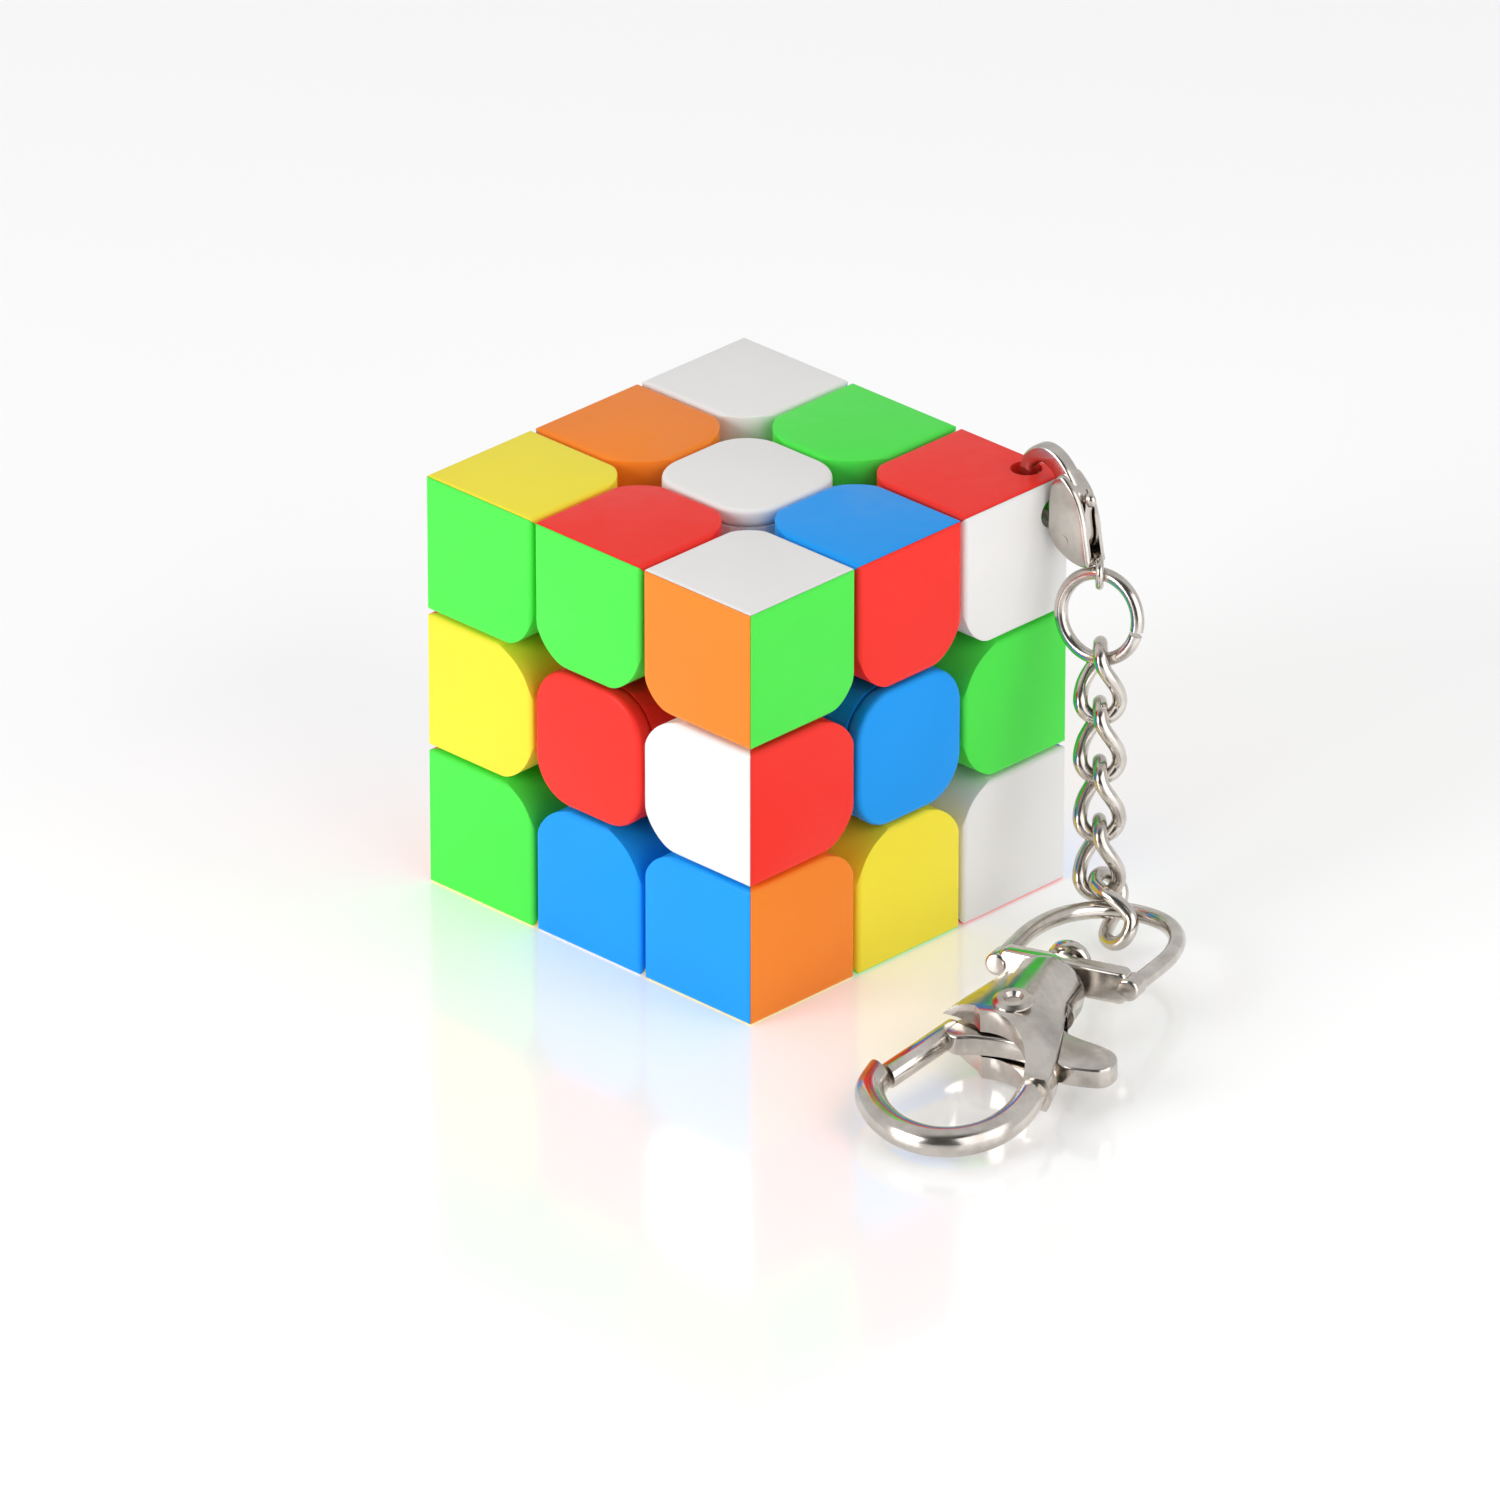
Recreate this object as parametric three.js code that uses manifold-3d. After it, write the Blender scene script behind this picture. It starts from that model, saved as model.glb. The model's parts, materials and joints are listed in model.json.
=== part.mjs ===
// Keychain twisty cube: 3 x 3 x 3 stickerless cube, with a chain and a swivel snap hook.
// Units mm, +Z up. Origin at the middle of the cube's bottom face. -Y and +X are the shown sides.
import * as THREE from 'three';
import { mergeVertices } from 'three/addons/utils/BufferGeometryUtils.js';
import Module from 'manifold-3d';

const wasm = await Module();
wasm.setup();

// ---- cube
const CUBE = 35;
const HALF = CUBE / 2;
const CUT = CUBE / 6;
const GAP = 0.15;
const IN = CUT + GAP;
const OUT = CUT - GAP;
const TRACK_R = 12.5;
const MALE_R = TRACK_R - GAP;
const FEMALE_R = TRACK_R + 0.5;
const TRACK_HALF = 4;
const NECK_STEP = 0.12;
const CORNER_ROUND = 3.6;
const LIP = 0.4;
const CAP_T = 1.55;
const CAP_GAP = 0.05;
const STALK_R = 3.3;
const WELL_R = 2.6;
const BORE_R = 1.15;
const ARM_R = 2.4;
const ARM_END = 6.2;
const SCREW_R = 0.85;
const TUNNEL_R = 1.25;
const TUNNEL_Y = 15.6;
const TUNNEL_TOP_X = 14.7;
const TUNNEL_SIDE_Z = 32.2;

// ---- keychain
const RIGHT = new THREE.Vector3(0.714, 0.7, 0).normalize();
const TOWARD = new THREE.Vector3(0.7, -0.714, 0).normalize();
const UP = new THREE.Vector3(0, 0, 1);
const EYE = new THREE.Vector3(22.5, TUNNEL_Y, 28.75);
const RING_R = 3.38;
const RING_WIRE = 0.55;
const RING_YAW = 31;
const CHAIN_LEAN = 11.9;
const LINK_WIRE = 0.6;
const LINK_LENGTH = 5.95;
const LINK_ARC = 1.52;
const LINK_GAP = 0.07;
const LAST_TOP = new THREE.Vector3(25.784, 13.09, 4.971);
const LAST_DOWN = new THREE.Vector3(0.6942, -0.4226, -0.5827).normalize();
const LAST_FIRST = new THREE.Vector3(0.1395, 0.8731, -0.4671).normalize();

function solid(geometry) {
  const g = geometry.clone();
  g.deleteAttribute('normal');
  g.deleteAttribute('uv');
  const m = mergeVertices(g, 1e-4);
  return new wasm.Manifold(new wasm.Mesh({
    numProp: 3,
    vertProperties: new Float32Array(m.attributes.position.array),
    triVerts: new Uint32Array(m.index.array),
  }));
}

function geometryOf(manifold) {
  const mesh = manifold.getMesh();
  const g = new THREE.BufferGeometry();
  g.setAttribute('position', new THREE.BufferAttribute(new Float32Array(mesh.vertProperties), 3));
  g.setIndex(new THREE.BufferAttribute(new Uint32Array(mesh.triVerts), 1));
  g.computeVertexNormals();
  return g;
}

function box(x0, x1, y0, y1, z0, z1) {
  const g = new THREE.BoxGeometry(x1 - x0, y1 - y0, z1 - z0);
  g.translate((x0 + x1) / 2, (y0 + y1) / 2, (z0 + z1) / 2);
  return g;
}

// A cylinder from point a to point b.
function rod(a, b, r, sides, r2 = r) {
  const from = new THREE.Vector3(...a);
  const along = new THREE.Vector3(...b).sub(from);
  const g = new THREE.CylinderGeometry(r2, r, along.length(), sides);
  g.translate(0, along.length() / 2, 0);
  g.applyQuaternion(new THREE.Quaternion().setFromUnitVectors(
    new THREE.Vector3(0, 1, 0), along.normalize()));
  g.translate(from.x, from.y, from.z);
  return g;
}

// A shape drawn in (p, q), extruded along the remaining axis.
function prism(shape, depth, plane, options = {}) {
  const g = new THREE.ExtrudeGeometry(shape, { depth, bevelEnabled: false, curveSegments: 6, ...options });
  if (plane === 'yz') {
    g.applyMatrix4(new THREE.Matrix4().makeBasis(
      new THREE.Vector3(0, 1, 0), new THREE.Vector3(0, 0, 1), new THREE.Vector3(1, 0, 0)));
  }
  if (plane === 'zx') {
    g.applyMatrix4(new THREE.Matrix4().makeBasis(
      new THREE.Vector3(0, 0, 1), new THREE.Vector3(1, 0, 0), new THREE.Vector3(0, 1, 0)));
  }
  return g;
}

// A rectangle whose corners are rounded (or chamfered when the radius is small).
function rounded(x0, x1, y0, y1, radii) {
  const [a, b, c, d] = radii;
  const s = new THREE.Shape();
  s.moveTo(x0 + a, y0);
  s.lineTo(x1 - b, y0);
  turn(s, x1 - b, y0 + b, b, -90);
  s.lineTo(x1, y1 - c);
  turn(s, x1 - c, y1 - c, c, 0);
  s.lineTo(x0 + d, y1);
  turn(s, x0 + d, y1 - d, d, 90);
  s.lineTo(x0, y0 + a);
  turn(s, x0 + a, y0 + a, a, 180, true);
  return s;
}

function turn(s, cx, cy, r, start, last = false) {
  const steps = r > 1.5 ? 4 : 1;
  for (let i = 1; i <= steps; i += 1) {
    if (last && i === steps) {
      return;
    }
    const t = THREE.MathUtils.degToRad(start + 90 * i / steps);
    s.lineTo(cx + r * Math.cos(t), cy + r * Math.sin(t));
  }
}

function ball(r) {
  const g = new THREE.SphereGeometry(r, 16, 8);
  g.rotateX(Math.PI / 2);
  return g;
}

// ---- one corner piece, at (+X, +Y, +Z) about the cube's middle
function cornerSolid() {
  const face = rounded(IN, HALF, IN, HALF, [CORNER_ROUND, LIP, LIP, LIP]);
  const span = HALF + 1;
  const shell = solid(prism(face, span, 'xy'))
    .intersect(solid(prism(face, span, 'yz')))
    .intersect(solid(prism(face, span, 'zx')));
  const n = IN + NECK_STEP;
  const neck = solid(ball(TRACK_R + 1.6)).intersect(solid(box(n, HALF, n, HALF, n, HALF)));
  const t = TRACK_HALF + GAP;
  const foot = solid(ball(MALE_R)).intersect(solid(box(t, HALF, t, HALF, t, HALF)));
  return shell.add(neck).add(foot);
}

// ---- one edge piece, at (+X, +Z), running along Y
function edgeSolid() {
  const round = 4.4;
  const across = rounded(IN, HALF, IN, HALF, [CORNER_ROUND, LIP, LIP, LIP]);
  const faceXY = rounded(IN, HALF, -OUT, OUT, [round, LIP, LIP, round]);
  const faceYZ = rounded(-OUT, OUT, IN, HALF, [round, round, LIP, LIP]);
  const sideways = prism(across, 2 * OUT, 'zx');
  sideways.translate(0, -OUT, 0);
  const shell = solid(sideways)
    .intersect(solid(prism(faceXY, HALF + 1, 'xy')))
    .intersect(solid(prism(faceYZ, HALF + 1, 'yz')));
  const middle = TRACK_HALF - GAP;
  const relief = solid(ball(FEMALE_R));
  const outer = shell.subtract(relief.intersect(solid(box(0, HALF, middle, HALF, 0, HALF))))
    .subtract(relief.intersect(solid(box(0, HALF, -HALF, -middle, 0, HALF))));
  const t = TRACK_HALF + GAP;
  const n = IN + NECK_STEP;
  const neck = solid(ball(TRACK_R + 1.2)).intersect(solid(box(n, HALF, -middle, middle, n, HALF)));
  const foot = solid(ball(MALE_R)).intersect(solid(box(t, HALF, -middle, middle, t, HALF)));
  return outer.add(neck).add(foot);
}

// ---- the turning middle of one side, at +Z: a base with a stalk and a screw well
function centreBaseSolid() {
  const r = CORNER_ROUND;
  const outline = rounded(-OUT, OUT, -OUT, OUT, [r, r, r, r]);
  const block = solid(prism(outline, HALF - CAP_T, 'xy'));
  const stalk = solid(rod([0, 0, 6.5], [0, 0, 14], STALK_R, 12));
  const well = solid(rod([0, 0, 8], [0, 0, HALF], WELL_R, 12));
  const bore = solid(rod([0, 0, 5], [0, 0, 9], BORE_R, 8));
  return block.subtract(solid(ball(FEMALE_R))).add(stalk).subtract(well).subtract(bore);
}

function centreCapSolid() {
  const r = CORNER_ROUND;
  const outline = rounded(-OUT + LIP, OUT - LIP, -OUT + LIP, OUT - LIP, [r, r, r, r]);
  const z = HALF - CAP_T + CAP_GAP;
  const plate = prism(outline, HALF - LIP - z, 'xy', {
    bevelEnabled: true, bevelThickness: LIP, bevelSize: LIP, bevelSegments: 1,
  });
  plate.translate(0, 0, z);
  const flat = solid(plate).subtract(solid(box(-HALF, HALF, -HALF, HALF, z - 2, z)));
  return flat.add(solid(rod([0, 0, z - 1.1], [0, 0, z + 0.3], WELL_R - 0.3, 8)));
}

function screwSolid() {
  const profile = [[0, 2], [SCREW_R, 2.3], [SCREW_R, 12], [2, 12], [2, 13.2], [0, 13.2]];
  const screw = new THREE.LatheGeometry(profile.map((p) => new THREE.Vector2(...p)), 8);
  screw.rotateX(Math.PI / 2);
  return solid(screw)
    .subtract(solid(box(-0.25, 0.25, -1.2, 1.2, 12.6, 14)))
    .subtract(solid(box(-1.2, 1.2, -0.25, 0.25, 12.6, 14)));
}

class Helix extends THREE.Curve {
  constructor(radius, low, high, turns) {
    super();
    Object.assign(this, { radius, low, high, turns });
  }

  getPoint(t, target = new THREE.Vector3()) {
    const a = 2 * Math.PI * this.turns * t;
    const z = this.low + (this.high - this.low) * t;
    return target.set(this.radius * Math.cos(a), this.radius * Math.sin(a), z);
  }
}

function circleShape(rx, ry, sides) {
  const s = new THREE.Shape();
  for (let i = 0; i < sides; i += 1) {
    const t = 2 * Math.PI * i / sides;
    const x = rx * Math.cos(t);
    const y = ry * Math.sin(t);
    if (i === 0) {
      s.moveTo(x, y);
    } else {
      s.lineTo(x, y);
    }
  }
  return s;
}

function springGeometry(radius, wire, low, high, turns, steps) {
  return new THREE.ExtrudeGeometry(circleShape(wire, wire, 4), {
    steps, extrudePath: new Helix(radius, low, high, turns),
  });
}

function coreSolid() {
  let core = solid(new THREE.SphereGeometry(3.8, 12, 6));
  for (const axis of [[1, 0, 0], [0, 1, 0], [0, 0, 1]]) {
    core = core.add(solid(rod(axis.map((v) => -v * ARM_END), axis.map((v) => v * ARM_END), ARM_R, 8)));
  }
  for (const axis of [[1, 0, 0], [0, 1, 0], [0, 0, 1], [-1, 0, 0], [0, -1, 0], [0, 0, -1]]) {
    core = core.subtract(solid(rod(axis.map((v) => v * 1.8), axis.map((v) => v * 7), 0.98, 8)));
  }
  return core;
}

// ---- small lobster clasp, in the XZ plane at y = TUNNEL_Y
function outlineShape(points) {
  const s = new THREE.Shape();
  s.moveTo(...points[0]);
  for (const p of points.slice(1)) {
    s.lineTo(...p);
  }
  return s;
}

// A shape drawn in (x, z), made thick in y about y0, with a bevel on both faces.
function slab(points, y0, half, bevel) {
  const g = new THREE.ExtrudeGeometry(outlineShape(points), {
    depth: 2 * (half - bevel), bevelEnabled: bevel > 0, bevelThickness: bevel, bevelSize: bevel * 0.8,
    bevelOffset: -bevel * 0.8, bevelSegments: 1,
  });
  g.translate(0, 0, -(half - bevel));
  g.rotateX(Math.PI / 2);
  g.translate(0, y0, 0);
  return g;
}

const CLASP_PIVOT = [19.7, TUNNEL_Y, 30.9];

function claspBodySolid() {
  const y = TUNNEL_Y;
  const hook = slab([
    [14.5, 33.1], [14.45, 35.2], [14.9, 36.5], [15.9, 37.5], [17, 37.9], [18.2, 37.6], [19.3, 36.8],
    [20.3, 35.5], [20.9, 34], [18.2, 34], [18.3, 35.3], [17.8, 36], [16.9, 36.35], [16.1, 36.05],
    [15.6, 35.3], [15.55, 33.1],
  ], y, 0.6, 0.25);
  const cheeks = slab([
    [18.25, 35.2], [17.95, 33.4], [17.95, 31.3], [18.6, 30.1], [20, 29.3], [21.3, 29.1], [22.4, 29.3],
    [22.2, 30.2], [21.9, 31.6], [21.7, 33], [21, 34.6], [20.2, 35.6], [19.2, 36.3],
  ], y, 1.05, 0.25);
  const section = circleShape(0.33, 0.5, 6).getPoints().slice(0, 6)
    .map((p) => new THREE.Vector2(1.02 + p.x, p.y));
  const loop = new THREE.LatheGeometry([...section, section[0]], 14);
  loop.applyQuaternion(new THREE.Quaternion().setFromUnitVectors(new THREE.Vector3(0, 1, 0), RIGHT));
  loop.translate(EYE.x, EYE.y, EYE.z);
  const slot = slab([
    [17, 30.2], [19.6, 29.95], [24, 30], [24, 35.1], [20.6, 35.1], [20, 34.4], [17, 34.4],
  ], y, 0.55, 0);
  const [px, , pz] = CLASP_PIVOT;
  const bore = solid(rod([px, y - 2, pz], [px, y + 2, pz], 0.48, 12));
  return solid(hook).add(solid(cheeks)).subtract(solid(slot)).add(solid(loop)).subtract(bore);
}

function claspLeverSolid() {
  const y = TUNNEL_Y;
  const [px, , pz] = CLASP_PIVOT;
  const arm = slab([
    [19, 30.25], [20.4, 30.15], [21.2, 30.4], [21.55, 31.6], [21.35, 33.2], [21.5, 34.4], [20.8, 34.6],
    [20.5, 33.5], [20.5, 32.4], [20, 31.6], [18.9, 31.6],
  ], y, 0.4, 0.1);
  const gate = solid(rod([19.6, y, 30.9], [15.5, y, 32.2], 0.4, 8));
  const nub = new THREE.SphereGeometry(0.6, 10, 8);
  nub.translate(21.45, y, 34.6);
  const narrow = solid(box(14, 24, y - 0.42, y + 0.42, 29, 36));
  const bore = solid(rod([px, y - 2, pz], [px, y + 2, pz], 0.48, 12));
  return solid(arm).add(gate.intersect(narrow)).add(solid(nub).intersect(narrow)).subtract(bore);
}

function rivetSolid(length, r, head, headT) {
  const h = length / 2;
  const profile = [
    [0, -h - headT], [head * 0.7, -h - headT], [head, -h], [r, -h],
    [r, h], [head, h], [head * 0.7, h + headT], [0, h + headT],
  ];
  return new THREE.LatheGeometry(profile.map((p) => new THREE.Vector2(...p)), 10);
}

// ---- jump ring, split at its lower right
const LEAN = THREE.MathUtils.degToRad(CHAIN_LEAN);
const DOWN = UP.clone().multiplyScalar(-Math.cos(LEAN)).addScaledVector(TOWARD, Math.sin(LEAN));
const FRONT = TOWARD.clone().multiplyScalar(Math.cos(LEAN)).addScaledVector(UP, Math.sin(LEAN));

class RingArc extends THREE.Curve {
  constructor(centre, across, down, radius, gapAt, gap) {
    super();
    Object.assign(this, { centre, across, down, radius, gapAt, gap });
  }

  getPoint(t, target = new THREE.Vector3()) {
    const a = this.gapAt + this.gap / 2 + (2 * Math.PI - this.gap) * t;
    return target.copy(this.centre).addScaledVector(this.across, this.radius * Math.sin(a))
      .addScaledVector(this.down, this.radius * Math.cos(a));
  }
}

// ---- a chain link whose two ends are a quarter turn apart
class LinkCurve extends THREE.Curve {
  constructor(top, down, first, length, arc) {
    super();
    const second = new THREE.Vector3().crossVectors(first, down).normalize();
    Object.assign(this, { top, down, first, second, length, arc });
  }

  getPoint(t, target = new THREE.Vector3()) {
    const straight = this.length - 2 * this.arc;
    const bend = Math.PI * this.arc;
    const whole = 2 * straight + 2 * bend;
    let s = ((t % 1) + 1) % 1 * whole;
    let along;
    let aside;
    if (s < bend) {
      along = this.arc - this.arc * Math.sin(s / this.arc);
      aside = -this.arc * Math.cos(s / this.arc);
    } else if (s < bend + straight) {
      along = this.arc + (s - bend);
      aside = this.arc;
    } else if (s < 2 * bend + straight) {
      s -= bend + straight;
      along = this.length - this.arc + this.arc * Math.sin(s / this.arc);
      aside = this.arc * Math.cos(s / this.arc);
    } else {
      along = this.length - this.arc - (s - 2 * bend - straight);
      aside = -this.arc;
    }
    const f = THREE.MathUtils.smoothstep(along, this.arc * 0.5, this.length - this.arc * 0.5);
    const twist = f * Math.PI / 2;
    return target.copy(this.top).addScaledVector(this.down, along)
      .addScaledVector(this.first, aside * Math.cos(twist))
      .addScaledVector(this.second, aside * Math.sin(twist));
  }
}

// ---- snap hook, drawn in its own frame: x to the thumb tab, y to the swivel, z up
const HOOK_AT = new THREE.Vector3(35.7, -4.9, 3.95);
const HOOK_HEADING = 21;
const HOOK_PITCH = 6.2;
const HOOK_PIVOT = [0, -4.5];
const HOOK_SQUASH = 0.58;
const BOW = [
  [3.2, -6], [4.1, -9.5], [4.4, -12.3], [4.3, -15.1], [3.4, -17.6], [1.7, -19.3], [-0.3, -20],
  [-2.4, -19.8], [-4.3, -18.9], [-6.1, -17.3], [-7.4, -15.1], [-7.6, -11.8],
];
const POST_R = 1.1;
const BAR_Y = 4.75;
const DRING_DROOP = 11.94;
const DRING_HALF = 5.65;
const DRING_WIRE = 0.75;
const LEVER_T = 1.8;

function hookFrame() {
  const heading = new THREE.Matrix4().makeRotationZ(THREE.MathUtils.degToRad(HOOK_HEADING));
  const pitch = new THREE.Matrix4().makeRotationX(THREE.MathUtils.degToRad(HOOK_PITCH));
  return new THREE.Matrix4().makeTranslation(HOOK_AT).multiply(heading).multiply(pitch);
}

function lathe(profile, sides) {
  return new THREE.LatheGeometry(profile.map((p) => new THREE.Vector2(...p)), sides);
}

function flatPrism(points, low, high) {
  const g = prism(outlineShape(points), high - low, 'xy');
  g.translate(0, 0, low);
  return solid(g);
}

function hookBodySolid() {
  const wide = lathe([
    [0, -11.5], [6.6, -11.5], [6.3, -9.4], [5.5, -6], [4.4, -2], [3.2, 1.8], [0, 1.9],
  ], 16);
  wide.scale(1, 1, HOOK_SQUASH);
  wide.translate(-0.7, 0, 0);
  const side = new THREE.ExtrudeGeometry(outlineShape([
    [3, -2.9], [3, 2.9], [-6.5, 3.1], [-9, 2.3], [-12, 1.25], [-12, -1.25], [-9, -2.3], [-6.5, -3.1],
  ]), { depth: 24, bevelEnabled: false });
  side.applyMatrix4(new THREE.Matrix4().makeBasis(
    new THREE.Vector3(0, 1, 0), new THREE.Vector3(0, 0, 1), new THREE.Vector3(1, 0, 0)));
  side.translate(-12, 0, 0);
  const collar = solid(lathe([
    [0, -6], [3, -5.9], [3, 1.9], [2.7, 2.8], [POST_R, 2.8], [POST_R, 6], [1.75, 6], [1.75, 6.6],
    [1.1, 7.2], [0, 7.2],
  ], 14));
  const opening = prism(circleShape(4.9, 6.7, 18), 12, 'xy');
  opening.translate(-1.1, -13.2, -6);
  const bow = new THREE.CatmullRomCurve3(BOW.map(([x, y]) => new THREE.Vector3(x, y, 0)));
  const bar = solid(new THREE.ExtrudeGeometry(circleShape(1.2, 1.15, 10),
    { steps: 20, extrudePath: bow }));
  const gateGap = flatPrism([
    [-10, -12.6], [-8.3, -12.5], [-5.6, -14.2], [-2, -13], [-1.5, -7], [-2.6, -5.9], [-4.4, -5.3],
    [-10, -4.9],
  ], -6, 6);
  const slot = LEVER_T / 2 + 0.25;
  const lever = flatPrism([
    [-9, -9], [-0.5, -9], [1, -9.8], [12, -9.8], [12, -0.9], [2.8, -0.9], [2.8, 2.1], [0.9, 2.1],
    [0.9, -1.6], [-2, -2.2], [-9, -3.4],
  ], -slot, slot);
  const [px, py] = HOOK_PIVOT;
  const bore = solid(rod([px, py, -9], [px, py, 9], 0.82, 10));
  return solid(wide).intersect(solid(side)).add(collar).subtract(solid(opening)).add(bar)
    .subtract(gateGap).subtract(lever).subtract(bore);
}

function hookGateSolid() {
  const tip = flatPrism([
    [-10, -12.3], [-8.2, -12.2], [-5.5, -13.9], [-3, -13.9], [-1, -5], [-7, -5],
  ], -3, 3);
  const arm = solid(rod([-4.5, -5.4, 0], [-7.4, -14.6, 0], 1, 10)).intersect(tip);
  const plate = flatPrism([
    [-4.7, -6.9], [-4.5, -5.2], [-2.6, -3.6], [-0.6, -2.6], [2.4, -2.7], [4.4, -4.2], [7.6, -4.9],
    [8.8, -5.5], [9.3, -6.6], [8.9, -7.8], [7.8, -8.4], [5, -8.5], [2.6, -7], [0.4, -6.6],
    [-2.2, -7], [-3.6, -7.6],
  ], -LEVER_T / 2, LEVER_T / 2);
  const [px, py] = HOOK_PIVOT;
  const bore = solid(rod([px, py, -9], [px, py, 9], 0.82, 10));
  return arm.add(plate).subtract(bore);
}

function dRingCurve() {
  const w = DRING_HALF;
  const points = [
    [w - 0.2, 0.5], [w, 3.5], [w, 7.5], [w - 0.9, 11], [w - 2.9, 13.4], [0, 14.2],
    [-w + 2.9, 13.4], [-w + 0.9, 11], [-w, 7.5], [-w, 3.5], [-w + 0.2, 0.5],
  ];
  return new THREE.CatmullRomCurve3(points.map((p) => new THREE.Vector3(p[0], p[1], 0)));
}

function dRingSolid() {
  const w = DRING_HALF;
  const wire = new THREE.ExtrudeGeometry(circleShape(DRING_WIRE, DRING_WIRE, 8),
    { steps: 20, extrudePath: dRingCurve() });
  const bar = prism(rounded(-w + 0.4, w - 0.4, -1.4, 1.4, [0.7, 0.7, 0.7, 0.7]), 1.6, 'xy');
  bar.rotateX(Math.PI / 2);
  bar.translate(0, 0.8, 0);
  const ends = solid(rod([w - 0.25, -0.9, 0], [w - 0.25, 1.1, 0], 0.95, 8))
    .add(solid(rod([-w + 0.25, -0.9, 0], [-w + 0.25, 1.1, 0], 0.95, 8)));
  return solid(wire).add(solid(bar)).add(ends);
}

function dRingFrame() {
  const tilt = new THREE.Matrix4().makeRotationX(THREE.MathUtils.degToRad(-DRING_DROOP));
  return hookFrame().multiply(new THREE.Matrix4().makeTranslation(0.4, BAR_Y - 0.2, 0)).multiply(tilt);
}

// ---- assembly
const COLOURS = {
  white: 0xf1efed, yellow: 0xfbe34a, red: 0xf83f38, orange: 0xff9139, green: 0x57ee57, blue: 0x2499f1,
};
const METAL = { nickel: 0xb9b1aa, steel: 0xa7a7a9, spring: 0xc9c9cc };

function plastic(name) {
  return new THREE.MeshStandardMaterial({ color: COLOURS[name], roughness: 0.38, metalness: 0 });
}

function metal(name) {
  return new THREE.MeshStandardMaterial({ color: METAL[name], roughness: 0.2, metalness: 1 });
}

const part = new THREE.Group();
part.name = 'keychain_cube';

function add(name, geometry, material) {
  const mesh = new THREE.Mesh(geometry, material);
  mesh.name = name;
  part.add(mesh);
}

const quarter = (k) => new THREE.Matrix4().makeRotationZ(k * Math.PI / 2);
const lift = new THREE.Matrix4().makeTranslation(0, 0, HALF);
const flip = new THREE.Matrix4().makeRotationX(Math.PI);
const toSide = new THREE.Matrix4().makeRotationX(-Math.PI / 2);
const toPlusX = new THREE.Matrix4().makeRotationY(Math.PI / 2);

function placed(manifold, ...turns) {
  const m = lift.clone();
  for (const t of turns) {
    m.multiply(t);
  }
  return geometryOf(manifold).applyMatrix4(m);
}

function tunnelled(manifold) {
  const y = TUNNEL_Y;
  const z = TUNNEL_SIDE_Z - HALF;
  const x = TUNNEL_TOP_X;
  return manifold
    .subtract(solid(rod([x, y, z - 0.2], [x, y, HALF + 1], TUNNEL_R, 12)))
    .subtract(solid(rod([x - 0.9, y, z], [HALF + 1, y, z], TUNNEL_R, 12)));
}

const corner = cornerSolid();
const CORNERS = [
  ['right_back', 'red', 'white'], ['left_back', 'white', 'red'],
  ['left_front', 'yellow', 'green'], ['right_front', 'white', 'orange'],
];
CORNERS.forEach(([where, top, bottom], k) => {
  const shape = k === 0 ? tunnelled(corner) : corner;
  add(`corner_top_${where}`, placed(shape, quarter(k)), plastic(top));
  add(`corner_bottom_${where}`, placed(corner, quarter(k + 1), flip), plastic(bottom));
});

const edge = edgeSolid();
const EDGES = [['right', 'blue', 'yellow'], ['back', 'green', 'orange'], ['left', 'orange', 'white'],
  ['front', 'red', 'blue']];
const UPRIGHTS = [['right_back', 'green'], ['left_back', 'blue'], ['left_front', 'yellow'],
  ['right_front', 'white']];
EDGES.forEach(([where, top, bottom], k) => {
  add(`edge_top_${where}`, placed(edge, quarter(k)), plastic(top));
  add(`edge_bottom_${where}`, placed(edge, quarter(k), flip), plastic(bottom));
});
UPRIGHTS.forEach(([where, colour], k) => {
  add(`edge_upright_${where}`, placed(edge, quarter(k), toSide), plastic(colour));
});

const base = centreBaseSolid();
const cap = centreCapSolid();
const screw = screwSolid();
const SIDES = [
  ['top', 'white', []], ['bottom', 'yellow', [flip]], ['right', 'blue', [toPlusX]],
  ['back', 'orange', [quarter(1), toPlusX]], ['left', 'green', [quarter(2), toPlusX]],
  ['front', 'red', [quarter(3), toPlusX]],
];
for (const [side, colour, turns] of SIDES) {
  add(`centre_base_${side}`, placed(base, ...turns), plastic(colour));
  add(`centre_cap_${side}`, placed(cap, ...turns), plastic(colour));
  add(`centre_screw_${side}`, placed(screw, ...turns), metal('steel'));
  const coil = solid(springGeometry(1.5, 0.24, 8.3, 11.7, 3, 21));
  add(`centre_spring_${side}`, placed(coil, ...turns), metal('spring'));
}
add('core_spider', placed(coreSolid()), plastic('white'));

add('clasp_body', geometryOf(claspBodySolid()), metal('nickel'));
add('clasp_lever', geometryOf(claspLeverSolid()), metal('nickel'));
add('clasp_rivet', rod([CLASP_PIVOT[0], TUNNEL_Y - 1.08, CLASP_PIVOT[2]],
  [CLASP_PIVOT[0], TUNNEL_Y + 1.08, CLASP_PIVOT[2]], 0.42, 10), metal('nickel'));
add('clasp_spring', geometryOf(solid(slab([
  [18.5, 34.2], [19.6, 33.6], [18.7, 33], [19.5, 32.2], [19.35, 32.1], [18.45, 33], [19.3, 33.6],
  [18.4, 34.1],
], TUNNEL_Y, 0.35, 0))), metal('spring'));

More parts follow.
